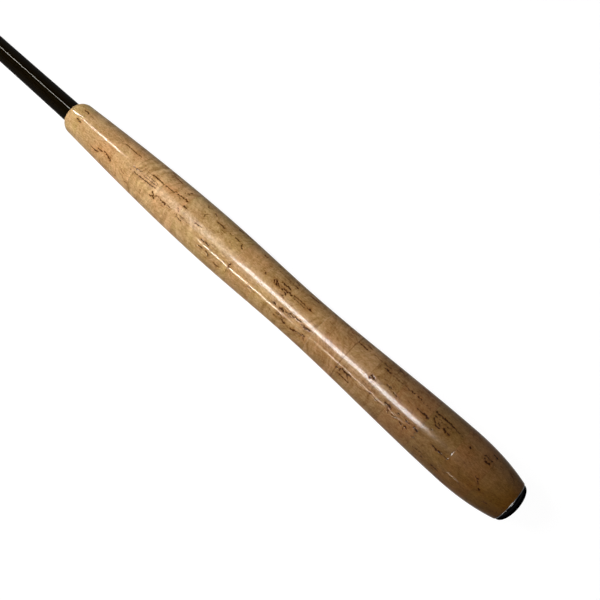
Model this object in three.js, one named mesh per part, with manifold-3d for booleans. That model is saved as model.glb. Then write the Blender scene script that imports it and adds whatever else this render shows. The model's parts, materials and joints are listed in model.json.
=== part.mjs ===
// Telescopic tenkara rod, collapsed: a cork grip on the handle section, five hollow sections and a
// solid tip inside it, and a screw-in cap at the butt.
// Millimetres, +Z up. The rod's axis is X: the cap's end face is at x = 0 and the tip points to +X.

import * as THREE from 'three';
import { mergeVertices } from 'three/addons/utils/BufferGeometryUtils.js';
import Module from 'manifold-3d';

const wasm = await Module();
wasm.setup();

// Facets round the axis
const gripSides = 32;
const tubeSides = 24;
const cordSides = 12;

// Clearances
const glueGap = 0.15;
const capGap = 0.1;
const seatGap = 0.2;
const runningGap = 0.02;

// Butt cap: a low dome on a threaded shank
const domeFlatRadius = 2.6;
const headInsideFlange = 0.2;
const headRim = 0.1;
const headLength = 3.6;
const domeSteps = 6;
const shankRadius = 4.75;
const shankLength = 9.9;
const shankChamfer = 0.4;
const coinSlotLength = 11;
const coinSlotWidth = 1.6;
const coinSlotDepth = 1.8;
const ventRadius = 0.8;

// O-ring in a groove under the cap's head
const ringWireRadius = 0.48;
const grooveWidth = 1.4;
const grooveFromHead = 1;
const ringWireSides = 8;

// Soft pad on the end of the shank, which the sections stand on
const padInsideShank = 0.25;
const padThickness = 1.8;
const padHoleRadius = 0.9;

// Threaded insert glued into the butt, with a thin flange behind the cork
const flangeInsideCork = 0.3;
const flangeThickness = 0.4;
const insertWall = 0.55;
const insertLength = 12.9;

// Cork rings, from the butt forward, turned to one outline
const ringLengths = [14.8, 15, 16, 16, 14, 13, 17, 17.5, 16.5, 15, 16, 20, 15, 17, 14, 14, 13, 11];
const outlineStep = 8.5;

// Grip outline: places are counted forward from the cork's butt end
const gripButtRadius = 9.6;
const gripButtSlope = 0.3;
const buttSwellAt = 27.3;
const buttSwellRadius = 13.2;
const waistAt = 115.8;
const waistRadius = 11.13;
const frontSwellAt = 174.8;
const frontSwellRadius = 12.2;
const shoulderLength = 4;
const shoulderRadius = 8.75;
const shoulderSlope = -0.057;
const shoulderSteps = 5;
const corkLip = 0.25;

// Handle section: outer radii from the butt to the mouth, and its bore
const closedLength = 565;
const blankButtGap = 0.3;
const blankGripRadius = 5.5;
const firstEaseLength = 36;
const firstEaseRadius = 5.26;
const secondEaseLength = 40;
const secondEaseRadius = 5.15;
const mouthRadius = 4.9;
const mouthWall = 0.65;
const buttWall = 0.75;
const straightBoreLength = 120;

// Band wound round the mouth of the handle section
const bandLength = 11;
const bandFromMouth = 1;
const bandThickness = 0.35;

// Sliding sections: each narrows by the same drop in radius over the same length, so that they stand
// together on the pad
const sectionDrop = 0.3285;
const sectionOverlap = 42;
const sectionRecess = 2;
const sectionWalls = [0.42, 0.36, 0.32, 0.28, 0.25];

// Lillian, the short braid on the tip, and the sleeve round its root
const sleeveLength = 5.5;
const sleeveWall = 0.16;
const sleeveSetBack = 1;
const sleevePassGap = 0.1;
const lillianRadius = 0.55;
const lillianLength = 20;
const lillianRoot = 6;
const lillianRootWall = 0.17;
const lillianTail = 1.5;
const lillianFromMouth = 1.5;
const knotLength = 2.4;
const knotInsideSleeve = 0.1;
const knotSteps = 4;

// Places along the axis that follow from the sizes
const flangeBackX = headLength + capGap;
const corkX = flangeBackX + flangeThickness;
const gripLength = ringLengths.reduce((sum, length) => sum + length, 0);
const corkFrontX = corkX + gripLength;
const shankEndX = headLength + shankLength;
const padFaceX = shankEndX + padThickness;
const standX = padFaceX + seatGap;
const sectionFrontX = closedLength - sectionRecess;
const sectionLength = sectionFrontX - standX;
const sectionTaper = sectionDrop / sectionLength;

// Radii at the butt, each from the piece that it fits
const threadRadius = shankRadius + capGap;
const insertRadius = threadRadius + insertWall;
const blankButtBore = insertRadius + glueGap;
const blankButtRadius = blankButtBore + buttWall;
const padRadius = shankRadius - padInsideShank;
const flangeRadius = gripButtRadius - flangeInsideCork;
const headRadius = flangeRadius - headInsideFlange;

const mix = (a, b, t) => a + (b - a) * t;

// Height of a smooth curve between two points with given slopes
function hermite(x, start, end) {
  const span = end.x - start.x;
  const t = (x - start.x) / span;
  const rise = t * t * (3 - 2 * t);
  const leave = t * (1 - t) * (1 - t) * span * start.slope;
  const arrive = t * t * (t - 1) * span * end.slope;
  return mix(start.r, end.r, rise) + leave + arrive;
}

// Radius at x on a line through [x, radius] points in order of x
function radiusOnLine(points, x) {
  let after = points.findIndex((point) => point[0] >= x);
  after = after < 0 ? points.length - 1 : Math.max(after, 1);
  const [x0, r0] = points[after - 1];
  const [x1, r1] = points[after];
  return mix(r0, r1, (x - x0) / (x1 - x0));
}

// Solid of revolution about X. The outline is a list of [x, radius] points that runs forward on the
// outside and comes back along the bore, or starts and ends on the axis. A facet lies flat underneath.
function revolve(outline, sides) {
  const bored = outline.every((point) => point[1] > 0);
  const points = bored ? [...outline, outline[0]] : outline;
  const profile = points.map(([x, r]) => new THREE.Vector2(r, x));
  const geometry = new THREE.LatheGeometry(profile, sides, Math.PI / sides);
  return geometry.rotateZ(-Math.PI / 2);
}

function toSolid(geometry) {
  const bare = geometry.clone();
  bare.deleteAttribute('normal');
  bare.deleteAttribute('uv');
  const merged = mergeVertices(bare, 1e-5);
  const corners = merged.index.array;
  const kept = [];
  for (let i = 0; i < corners.length; i += 3) {
    const [a, b, c] = corners.slice(i, i + 3);
    if (a !== b && b !== c && c !== a) kept.push(a, b, c);
  }
  return new wasm.Manifold(new wasm.Mesh({
    numProp: 3,
    vertProperties: new Float32Array(merged.attributes.position.array),
    triVerts: new Uint32Array(kept),
  }));
}

function toGeometry(solid) {
  const mesh = solid.getMesh();
  const geometry = new THREE.BufferGeometry();
  geometry.setAttribute('position', new THREE.BufferAttribute(mesh.vertProperties, 3));
  geometry.setIndex(new THREE.BufferAttribute(mesh.triVerts, 1));
  geometry.computeVertexNormals();
  return geometry;
}

const material = (color, roughness, metalness) =>
  new THREE.MeshStandardMaterial({ color, roughness, metalness });

const materials = {
  cork: material(0xb58a5c, 0.35, 0),
  blank: material(0x14120c, 0.25, 0),
  cap: material(0x060606, 0.15, 0),
  insert: material(0xb9b6ae, 0.3, 1),
  rubber: material(0x101010, 0.8, 0),
  pad: material(0x2b2b2c, 0.95, 0),
  band: material(0x1b1710, 0.3, 0),
  tip: material(0x1a1a18, 0.3, 0),
  braid: material(0xb23a26, 0.85, 0),
  sleeve: material(0x0c0c0c, 0.4, 0),
};

const rod = new THREE.Group();

function add(name, geometry, finish) {
  const mesh = new THREE.Mesh(geometry, finish);
  mesh.name = name;
  rod.add(mesh);
}

// Handle section

const blankOutside = [
  [corkX + blankButtGap, blankButtRadius],
  [corkFrontX, blankGripRadius],
  [corkFrontX + firstEaseLength, firstEaseRadius],
  [corkFrontX + firstEaseLength + secondEaseLength, secondEaseRadius],
  [closedLength, mouthRadius],
];
const mouthBore = mouthRadius - mouthWall;
const blankBore = [
  [closedLength, mouthBore],
  [closedLength - straightBoreLength, mouthBore + sectionTaper * straightBoreLength],
  [corkX + blankButtGap, blankButtBore],
];

function mouthBand() {
  const start = closedLength - bandFromMouth - bandLength;
  const end = start + bandLength;
  const inner = radiusOnLine(blankOutside, start) + capGap;
  const outer = inner + bandThickness;
  return revolve([[start, outer], [end, outer], [end, inner], [start, inner]], tubeSides);
}

// Cork grip

const corkOutline = [
  { x: 0, r: gripButtRadius, slope: gripButtSlope },
  { x: buttSwellAt, r: buttSwellRadius, slope: 0 },
  { x: waistAt, r: waistRadius, slope: 0 },
  { x: frontSwellAt, r: frontSwellRadius, slope: 0 },
  { x: gripLength - shoulderLength, r: shoulderRadius, slope: shoulderSlope },
];
const corkBore = (x) => radiusOnLine(blankOutside, Math.max(x, blankOutside[0][0])) + glueGap;
const lipRadius = corkBore(corkFrontX) + corkLip;

function corkRadius(along) {
  const end = corkOutline.findIndex((point) => point.x >= along);
  return hermite(along, corkOutline[Math.max(end, 1) - 1], corkOutline[Math.max(end, 1)]);
}

// Outside of a ring in short straight steps, as far as the shoulder
function corkSide(from, to) {
  const steps = Math.ceil((to - from) / outlineStep);
  const edge = [];
  for (let i = 0; i <= steps; i += 1) {
    const along = mix(from, to, i / steps);
    edge.push([corkX + along, corkRadius(along)]);
  }
  return edge;
}

// The front ring's rounded shoulder, a quarter of an ellipse down to the lip round the blank
function corkShoulder() {
  const edge = [];
  for (let i = 1; i <= shoulderSteps; i += 1) {
    const turn = (i / shoulderSteps) * (Math.PI / 2);
    edge.push([
      corkFrontX - shoulderLength * (1 - Math.sin(turn)),
      mix(lipRadius, shoulderRadius, Math.cos(turn)),
    ]);
  }
  return edge;
}

function corkRing(from, to) {
  const isFront = to === gripLength;
  const outside = isFront ? corkSide(from, to - shoulderLength) : corkSide(from, to);
  const shoulder = isFront ? corkShoulder() : [];
  const bore = [[corkX + to, corkBore(corkX + to)], [corkX + from, corkBore(corkX + from)]];
  return revolve([...outside, ...shoulder, ...bore], gripSides);
}

// Threaded insert in the butt

function buttFerrule() {
  return revolve([
    [flangeBackX, flangeRadius],
    [corkX, flangeRadius],
    [corkX, insertRadius],
    [corkX + insertLength, insertRadius],
    [corkX + insertLength, threadRadius],
    [flangeBackX, threadRadius],
  ], gripSides);
}

// Butt cap, its O-ring and its pad

const grooveX = headLength + grooveFromHead;
const grooveRadius = threadRadius - 2 * ringWireRadius - 2 * capGap;

function capOutline() {
  const domeBaseX = headLength - headRim;
  const firstTurn = Math.asin(domeFlatRadius / headRadius);
  const domeHeight = domeBaseX / Math.cos(firstTurn);
  const outline = [[0, 0]];
  for (let i = 0; i <= domeSteps; i += 1) {
    const turn = mix(firstTurn, Math.PI / 2, i / domeSteps);
    outline.push([domeBaseX - domeHeight * Math.cos(turn), headRadius * Math.sin(turn)]);
  }
  return [
    ...outline,
    [headLength, headRadius],
    [headLength, shankRadius],
    [grooveX, shankRadius],
    [grooveX, grooveRadius],
    [grooveX + grooveWidth, grooveRadius],
    [grooveX + grooveWidth, shankRadius],
    [shankEndX - shankChamfer, shankRadius],
    [shankEndX, shankRadius - shankChamfer],
    [shankEndX, 0],
  ];
}

function buttCap() {
  const slot = new THREE.BoxGeometry(2 * coinSlotDepth, coinSlotLength, coinSlotWidth);
  const vent = new THREE.CylinderGeometry(ventRadius, ventRadius, 3 * shankEndX, cordSides);
  vent.rotateZ(Math.PI / 2);
  const solid = toSolid(revolve(capOutline(), gripSides));
  return toGeometry(solid.subtract(toSolid(slot)).subtract(toSolid(vent)));
}

function capRing() {
  const wire = ringWireRadius;
  const middleX = grooveX + grooveWidth / 2;
  const middleRadius = threadRadius - capGap - wire;
  const section = [];
  for (let i = 0; i < ringWireSides; i += 1) {
    const turn = ((i + 0.5) / ringWireSides) * 2 * Math.PI;
    section.push([middleX - wire * Math.cos(turn), middleRadius + wire * Math.sin(turn)]);
  }
  return revolve(section, tubeSides);
}

function capPad() {
  return revolve([
    [shankEndX, padRadius],
    [padFaceX, padRadius],
    [padFaceX, padHoleRadius],
    [shankEndX, padHoleRadius],
  ], tubeSides);
}

// Sliding sections, each made to jam in the mouth of the one before it

const buttInMouth = (bore) => bore + sectionTaper * sectionOverlap - runningGap;
const mouthOf = (section) => section.buttRadius - sectionDrop - section.wall;

const sections = [];
for (const wall of sectionWalls) {
  const bore = sections.length > 0 ? mouthOf(sections.at(-1)) : mouthBore;
  sections.push({ buttRadius: buttInMouth(bore), wall });
}

function hollowSection({ buttRadius, wall }) {
  const frontRadius = buttRadius - sectionDrop;
  return revolve([
    [standX, buttRadius],
    [sectionFrontX, frontRadius],
    [sectionFrontX, frontRadius - wall],
    [standX, buttRadius - wall],
  ], tubeSides);
}

// Solid tip, with a sleeve and a braid on its end that slide through the last section's mouth
const tipMouth = mouthOf(sections.at(-1));
const tipButtRadius = buttInMouth(tipMouth);
const sleeveRadius = tipMouth - sleevePassGap;
const sleeveBore = sleeveRadius - sleeveWall;
const rootRadius = sleeveBore - capGap;
const rootBore = rootRadius - lillianRootWall;
const tipEndRadius = rootBore - capGap;
const knotRadius = sleeveRadius - knotInsideSleeve;
const tipEndX = closedLength - lillianFromMouth - lillianLength;

function solidTip() {
  return revolve([
    [standX, 0],
    [standX, tipButtRadius],
    [tipEndX, tipEndRadius],
    [tipEndX, 0],
  ], tubeSides);
}

// Braid over the end of the tip, with a stopper knot and a short tail
function lillian() {
  const rootX = tipEndX - lillianRoot;
  const tailX = tipEndX + lillianLength;
  const knotX = tailX - lillianTail - knotLength;
  const knot = [];
  for (let i = 0; i <= knotSteps; i += 1) {
    const turn = (i / knotSteps) * Math.PI;
    knot.push([
      knotX + (knotLength / 2) * (1 - Math.cos(turn)),
      lillianRadius + (knotRadius - lillianRadius) * Math.sin(turn),
    ]);
  }
  return revolve([
    [tipEndX + seatGap, 0],
    [tipEndX + seatGap, rootBore],
    [rootX, rootBore],
    [rootX, rootRadius],
    [tipEndX, rootRadius],
    [tipEndX + sleeveSetBack, lillianRadius],
    ...knot,
    [tailX, lillianRadius],
    [tailX, 0],
  ], cordSides);
}

function tipSleeve() {
  const end = tipEndX - sleeveSetBack;
  const start = end - sleeveLength;
  return revolve([
    [start, sleeveRadius],
    [end, sleeveRadius],
    [end, sleeveBore],
    [start, sleeveBore],
  ], tubeSides);
}

// Assembly, from the butt to the tip

add('butt_cap', buttCap(), materials.cap);
add('cap_o_ring', capRing(), materials.rubber);
add('cap_pad', capPad(), materials.pad);
add('butt_ferrule', buttFerrule(), materials.insert);

let ringStart = 0;
ringLengths.forEach((length, index) => {
  const name = `cork_ring_${String(index + 1).padStart(2, '0')}`;
  add(name, corkRing(ringStart, ringStart + length), materials.cork);
  ringStart += length;
});

add('handle_blank', revolve([...blankOutside, ...blankBore], tubeSides), materials.blank);
add('mouth_band', mouthBand(), materials.band);

sections.forEach((section, index) => {
  add(`section_${index + 2}`, hollowSection(section), materials.blank);
});

add('tip_section', solidTip(), materials.tip);
add('tip_sleeve', tipSleeve(), materials.sleeve);
add('lillian', lillian(), materials.braid);

export default rod;
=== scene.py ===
# The looks of a collapsed tenkara rod: lacquered cork grip, dark blank with its nested sections, butt cap.
# Blender works in metres here; the sizes below are in millimetres, in the part's own frame.

import json
import math

import bpy
import numpy as np
from mathutils import Matrix, Vector


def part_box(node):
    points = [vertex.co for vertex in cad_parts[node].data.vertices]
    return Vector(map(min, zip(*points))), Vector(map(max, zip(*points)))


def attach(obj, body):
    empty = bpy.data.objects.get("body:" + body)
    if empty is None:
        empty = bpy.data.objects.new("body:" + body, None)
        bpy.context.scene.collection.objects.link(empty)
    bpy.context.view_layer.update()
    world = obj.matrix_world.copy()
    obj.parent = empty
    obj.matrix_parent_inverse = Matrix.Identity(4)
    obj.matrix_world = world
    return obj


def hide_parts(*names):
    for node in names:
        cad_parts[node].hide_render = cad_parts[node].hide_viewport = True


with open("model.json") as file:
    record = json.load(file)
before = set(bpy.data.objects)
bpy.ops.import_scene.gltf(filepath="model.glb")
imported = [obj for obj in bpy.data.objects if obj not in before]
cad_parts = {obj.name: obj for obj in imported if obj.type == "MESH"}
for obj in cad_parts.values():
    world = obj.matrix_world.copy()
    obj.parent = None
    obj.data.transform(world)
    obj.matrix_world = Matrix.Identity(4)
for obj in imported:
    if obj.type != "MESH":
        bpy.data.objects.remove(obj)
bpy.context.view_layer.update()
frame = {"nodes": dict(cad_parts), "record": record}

record = frame["record"]
MM = 0.001

# Facets of the solids that the sizes are read from, and of the fine pieces
TUBE_FACETS = 24
GRIP_FACETS = 32
FINE_SIDES = 96
CORK_SIDES = 256
EASE_STEPS = 4
SHARP_ANGLE = 40

# Clearances
GLUE_GAP = 0.15
CAP_GAP = 0.1

# Cork grip outline, counted forward from the cork's butt end: place, radius, slope
CORK_OUTLINE = (
    (0.0, 9.6, 0.3),
    (27.3, 13.2, 0.0),
    (115.8, 11.13, 0.0),
    (174.8, 12.2, 0.0),
    (270.8, 8.75, -0.057),
)
SHOULDER_LENGTH = 4.0
CORK_LIP = 0.25
CORK_STEP = 0.32
SHOULDER_STEPS = 16
SEAM_WIDTH = 0.3
SEAM_DEPTH = 0.03

# Handle blank
BLANK_GRIP_RADIUS = 5.5
FIRST_EASE = (36.0, 5.26)
SECOND_EASE = (40.0, 5.15)
MOUTH_RADIUS = 4.9
MOUTH_WALL = 0.65
BUTT_WALL = 0.75
STRAIGHT_BORE_LENGTH = 120.0
BLANK_RINGS = 60

# Sliding sections: each lip is rounded over a share of its wall
SECTION_DROP = 0.3285
SECTION_OVERLAP = 42.0
RUNNING_GAP = 0.02
SECTION_WALLS = (0.42, 0.36, 0.32, 0.28, 0.25)
LIP_SHARE = 0.3

# Sleeve on the tip, and the braid's root in it
SLEEVE_WALL = 0.16
LILLIAN_ROOT_WALL = 0.17

# Cap and insert
SHANK_RADIUS = 4.75
INSERT_WALL = 0.55
DOME_FLAT_RADIUS = 2.6
HEAD_RIM = 0.1
VENT_RADIUS = 0.8
SLOT_LENGTH = 11.0
SLOT_WIDTH = 1.6
SLOT_DEPTH = 1.8
THREAD_PITCH = 1.5
THREAD_DEPTH = 0.3
PAD_HOLE_RADIUS = 0.9

# Camera, worked out from the spacing of the cork seams
CAMERA_TILT = math.radians(14.0)
ROD_ANGLE = (0.75011, 0.66132)
CAMERA_DISTANCE = 309.4
CAMERA_AIM = (126.84, -5.146)
CAMERA_LENS = 40.8
SENSOR_WIDTH = 36.0
FRAME_WIDTH = 600

# The rod's midline in the photo, in pixels: a point on it and its direction towards the butt
MIDLINE_POINT = (290.67, 306.84)
MIDLINE_WAY = (0.7476, 0.6642)


def mix(a, b, t):
    return a + (b - a) * t


def span(node):
    """Where a CAD node starts and ends along the rod, in millimetres"""
    low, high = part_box(node)
    return low.x / MM, high.x / MM


def widest(node, facets):
    """Largest radius of a faceted CAD node that lies on a flat facet, in millimetres"""
    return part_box(node)[1].z / MM / math.cos(math.pi / facets)


# Mesh making

# A direction that no path of a tube runs along
OFF_PATH = Vector((0.3, 0.5, 0.8))


def new_mesh(name, vertices, faces):
    mesh = bpy.data.meshes.new(name)
    mesh.from_pydata(vertices, [], faces)
    return mesh


def smooth(mesh, sharp=SHARP_ANGLE):
    """Smooth shading, apart from the edges that are sharper than an angle in degrees"""
    mesh.shade_smooth()
    mesh.set_sharp_from_angle(angle=math.radians(sharp))


def show(name, data):
    """New object in the scene"""
    made = bpy.data.objects.new(name, data)
    bpy.context.scene.collection.objects.link(made)
    return made


def eased(corners, steps=EASE_STEPS):
    """Outline of (x, radius, ease) corners with each corner rounded over its ease length"""
    outline = []
    for i, (x, r, ease) in enumerate(corners):
        if ease == 0:
            outline.append((x, r))
            continue
        here = Vector((x, r))
        before = Vector(corners[i - 1][:2]) - here
        after = Vector(corners[(i + 1) % len(corners)][:2]) - here
        start = here + before.normalized() * ease
        end = here + after.normalized() * ease
        for k in range(steps + 1):
            t = k / steps
            point = start * (1 - t) ** 2 + here * 2 * t * (1 - t) + end * t ** 2
            outline.append((point.x, point.y))
    return outline


def revolve(name, outline, sides=FINE_SIDES, warp=None):
    """Closed solid of revolution about X. The outline runs forward on the outside and back on the inside,
    or starts and ends on the axis. warp moves its points: it takes and gives x, radius and angle."""
    turn = np.arange(sides) * 2 * math.pi / sides
    x = np.array([p[0] for p in outline])[:, None] + 0 * turn
    r = np.array([p[1] for p in outline])[:, None] + 0 * turn
    angle = 0 * x + turn
    on_axis = [p[1] == 0 for p in outline]
    if warp:
        x, r = warp(x, r, angle)
    points = np.stack([x, r * np.cos(angle), r * np.sin(angle)], -1) * MM
    vertices = []
    rows = []
    for i, axial in enumerate(on_axis):
        start = len(vertices)
        vertices.extend(points[i, :1] if axial else points[i])
        rows.append((start, axial))
    pairs = list(zip(rows, rows[1:]))
    if not any(on_axis):
        pairs.append((rows[-1], rows[0]))
    faces = []
    for (a, a_axial), (b, b_axial) in pairs:
        for j in range(sides):
            k = (j + 1) % sides
            if a_axial:
                faces.append((a, b + k, b + j))
            elif b_axial:
                faces.append((a + j, a + k, b))
            else:
                faces.append((a + j, a + k, b + k, b + j))
    mesh = new_mesh(name, [tuple(v) for v in vertices], faces)
    smooth(mesh)
    return show(name, mesh)


def tube_along(path, radius, sides):
    """Vertices and faces of a closed tube along a path of points in millimetres"""
    vertices = []
    faces = []
    for i, point in enumerate(path):
        ahead = Vector(path[min(i + 1, len(path) - 1)]) - Vector(path[max(i - 1, 0)])
        across = ahead.cross(OFF_PATH).normalized()
        up = ahead.cross(across).normalized()
        for j in range(sides):
            turn = 2 * math.pi * j / sides
            offset = (across * math.cos(turn) + up * math.sin(turn)) * radius
            vertices.append(tuple((Vector(point) + offset) * MM))
    for i in range(len(path) - 1):
        for j in range(sides):
            k = (j + 1) % sides
            a = i * sides
            b = a + sides
            faces.append((a + j, a + k, b + k, b + j))
    faces.append(tuple(range(sides))[::-1])
    last = (len(path) - 1) * sides
    faces.append(tuple(range(last, last + sides)))
    return vertices, faces


body_of = {node: body for body, nodes in record["behaviour"]["bodies"].items() for node in nodes}


def stand_for(piece, node, material):
    """The piece is seen in place of a CAD node, and moves with that node's body"""
    piece.data.materials.append(material)
    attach(piece, body_of[node])
    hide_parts(node)
    return piece


def turned(node, corners, material):
    """The piece for a node that is turned from (x, radius, ease) corners"""
    return stand_for(revolve(f"{node}_fine", eased(corners)), node, material)


# Material making

class Nodes:
    """Nodes of a material or of the world"""

    def __init__(self, owner):
        owner.use_nodes = True
        self.tree = owner.node_tree

    def add(self, kind, inputs=None, **settings):
        """New node; the kind is its class name without ShaderNode, and an input is a value or a socket"""
        made = self.tree.nodes.new(f"ShaderNode{kind}")
        for key, value in settings.items():
            setattr(made, key, value)
        for key, value in (inputs or {}).items():
            if isinstance(value, bpy.types.NodeSocket):
                self.tree.links.new(value, made.inputs[key])
            else:
                made.inputs[key].default_value = value
        return made

    def math(self, operation, a, b=0.0, c=0.0):
        return self.add("Math", {0: a, 1: b, 2: c}, operation=operation).outputs[0]

    def times(self, a, b):
        return self.math("MULTIPLY", a, b)

    def seen_directly(self):
        """1 for rays from the camera and in reflections, 0 for the light that falls on the object"""
        path = self.add("LightPath").outputs
        either = self.math("MAXIMUM", path["Is Camera Ray"], path["Is Glossy Ray"])
        return self.math("MAXIMUM", either, path["Is Transmission Ray"])


class Shader(Nodes):
    """Nodes of one material, ending in a principled shader"""

    def __init__(self, name, **settings):
        self.material = bpy.data.materials.new(name)
        super().__init__(self.material)
        self.principled = self.tree.nodes["Principled BSDF"]
        for key, value in settings.items():
            socket = key.replace("_", " ").title().replace("Ior", "IOR")
            self.principled.inputs[socket].default_value = value
        self.mm = self.scaled(self.add("TexCoord").outputs["Object"], (1 / MM, 1 / MM, 1 / MM))

    def scaled(self, place, scales):
        """Place with each axis scaled: a pattern is long where its scale is small"""
        return self.add("VectorMath", {0: place, 1: scales}, operation="MULTIPLY").outputs[0]

    def axes(self):
        return self.add("SeparateXYZ", {0: self.mm}).outputs

    def joined(self, x, y, z=0.0):
        return self.add("CombineXYZ", {0: x, 1: y, 2: z}).outputs[0]

    def facing(self):
        """0 where the surface faces the eye, 1 at its edge"""
        return self.add("LayerWeight", {"Blend": 0.5}).outputs["Facing"]

    def attribute(self, name):
        return self.add("Attribute", attribute_name=name).outputs["Fac"]

    def noise(self, place, scale, detail=3.0, roughness=0.5, distortion=0.0):
        made = self.add("TexNoise", {"Vector": place, "Scale": scale, "Detail": detail,
                                     "Roughness": roughness, "Distortion": distortion})
        return made.outputs["Fac"]

    def between(self, value, low, high, to_low=0.0, to_high=1.0):
        inputs = {"Value": value, "From Min": low, "From Max": high, "To Min": to_low, "To Max": to_high}
        return self.add("MapRange", inputs, interpolation_type="SMOOTHSTEP").outputs[0]

    def vary(self, base, noise, amount):
        """The base, larger or smaller where the noise lies over or under its middle"""
        return self.math("MULTIPLY_ADD", self.math("SUBTRACT", noise, 0.5), amount, base)

    def rgb(self, red, green, blue):
        return self.add("CombineColor", {0: red, 1: green, 2: blue}).outputs[0]

    def blend(self, kind, factor, a, b):
        made = self.add("Mix", {0: factor, 6: a, 7: b}, data_type="RGBA", blend_type=kind)
        return made.outputs[2]

    def tint(self, factor, colour, by):
        """The colour multiplied by another, as far as the factor goes"""
        return self.blend("MULTIPLY", factor, colour, (*by, 1))

    def ramp(self, value, stops):
        made = self.add("ValToRGB", {0: value})
        ramp = made.color_ramp
        while len(ramp.elements) < len(stops):
            ramp.elements.new(0.5)
        for element, (place, colour) in zip(ramp.elements, stops):
            element.position = place
            element.color = (*colour, 1)
        return made.outputs["Color"]

    def tones(self, value, dark, pale, low=0.3, high=0.7):
        """Colour that runs from dark to pale as the value runs from low to high"""
        return self.ramp(value, ((low, dark), (high, pale)))

    def bump(self, height, distance, strength=1.0):
        inputs = {"Height": height, "Distance": distance * MM, "Strength": strength}
        return self.add("Bump", inputs).outputs[0]

    def set(self, socket, value):
        self.tree.links.new(value, self.principled.inputs[socket])


# Camera

SIDEWAYS = Vector((0, 1, 0))
FOCAL = CAMERA_LENS / SENSOR_WIDTH * FRAME_WIDTH
PIXEL = CAMERA_DISTANCE / FOCAL

camera_forward = Vector((math.sin(CAMERA_TILT), 0, -math.cos(CAMERA_TILT)))
to_butt = Vector((-math.cos(CAMERA_TILT), 0, -math.sin(CAMERA_TILT)))
camera_right = to_butt * ROD_ANGLE[0] - SIDEWAYS * ROD_ANGLE[1]
camera_down = to_butt * ROD_ANGLE[1] + SIDEWAYS * ROD_ANGLE[0]
camera_place = Vector((CAMERA_AIM[0], 0, 0)) - camera_forward * CAMERA_DISTANCE + SIDEWAYS * CAMERA_AIM[1]


def place_camera():
    camera_data = bpy.data.cameras.new("camera")
    camera_data.lens = CAMERA_LENS
    camera_data.sensor_width = SENSOR_WIDTH
    camera_data.clip_start = 0.01
    camera = show("camera", camera_data)
    turn = Matrix((camera_right, -camera_down, -camera_forward)).transposed().to_4x4()
    camera.matrix_world = Matrix.Translation(camera_place * MM) @ turn
    bpy.context.scene.camera = camera


place_camera()

# Cork grip

cork_x = span("cork_ring_01")[0]
cork_rings = sorted(node for node in frame["nodes"] if node.startswith("cork_ring_"))
cork_front_x = span(cork_rings[-1])[1]
blank_start_x, mouth_x = span("handle_blank")


def cork_radius(along):
    """Radius of the turned grip at places counted forward from the cork's butt end"""
    result = np.zeros_like(along)
    for (x0, r0, m0), (x1, r1, m1) in zip(CORK_OUTLINE, CORK_OUTLINE[1:]):
        t = np.clip((along - x0) / (x1 - x0), 0, 1)
        rise = t * t * (3 - 2 * t)
        curve = mix(r0, r1, rise) + t * (1 - t) ** 2 * (x1 - x0) * m0 + t * t * (t - 1) * (x1 - x0) * m1
        result = np.where(along >= x0, curve, result)
    return result


insert_radius = SHANK_RADIUS + CAP_GAP + INSERT_WALL
blank_butt_bore = insert_radius + GLUE_GAP
blank_butt_radius = blank_butt_bore + BUTT_WALL


def blank_radius(x):
    places = (blank_start_x, cork_front_x, cork_front_x + FIRST_EASE[0],
              cork_front_x + FIRST_EASE[0] + SECOND_EASE[0], mouth_x)
    radii = (blank_butt_radius, BLANK_GRIP_RADIUS, FIRST_EASE[1], SECOND_EASE[1], MOUTH_RADIUS)
    return float(np.interp(x, places, radii))


# Rounds that find where a line of sight meets the grip, whose radius changes along it
SIGHT_ROUNDS = 6


def seen_at(along_rod, across_rod):
    """Where a spot in the photo lies on the grip: millimetres from the cork's butt end, and the turn from
    the top towards +Y. The spot is in pixels from MIDLINE_POINT, towards the butt and to the lower left."""
    u = MIDLINE_POINT[0] + along_rod * MIDLINE_WAY[0] - across_rod * MIDLINE_WAY[1] - FRAME_WIDTH / 2
    v = MIDLINE_POINT[1] + along_rod * MIDLINE_WAY[1] + across_rod * MIDLINE_WAY[0] - FRAME_WIDTH / 2
    ray = (camera_forward * FOCAL + camera_right * u + camera_down * v).normalized()
    square = ray.y * ray.y + ray.z * ray.z
    middle = camera_place.y * ray.y + camera_place.z * ray.z
    radius = CORK_OUTLINE[1][1]
    for _ in range(SIGHT_ROUNDS):
        rest = camera_place.y ** 2 + camera_place.z ** 2 - radius * radius
        root = math.sqrt(max(middle * middle - square * rest, 0.0))
        spot = camera_place + ray * ((-middle - root) / square)
        radius = cork_radius(np.array([spot.x - cork_x]))[0]
    return spot.x - cork_x, math.atan2(spot.y, spot.z)


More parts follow.
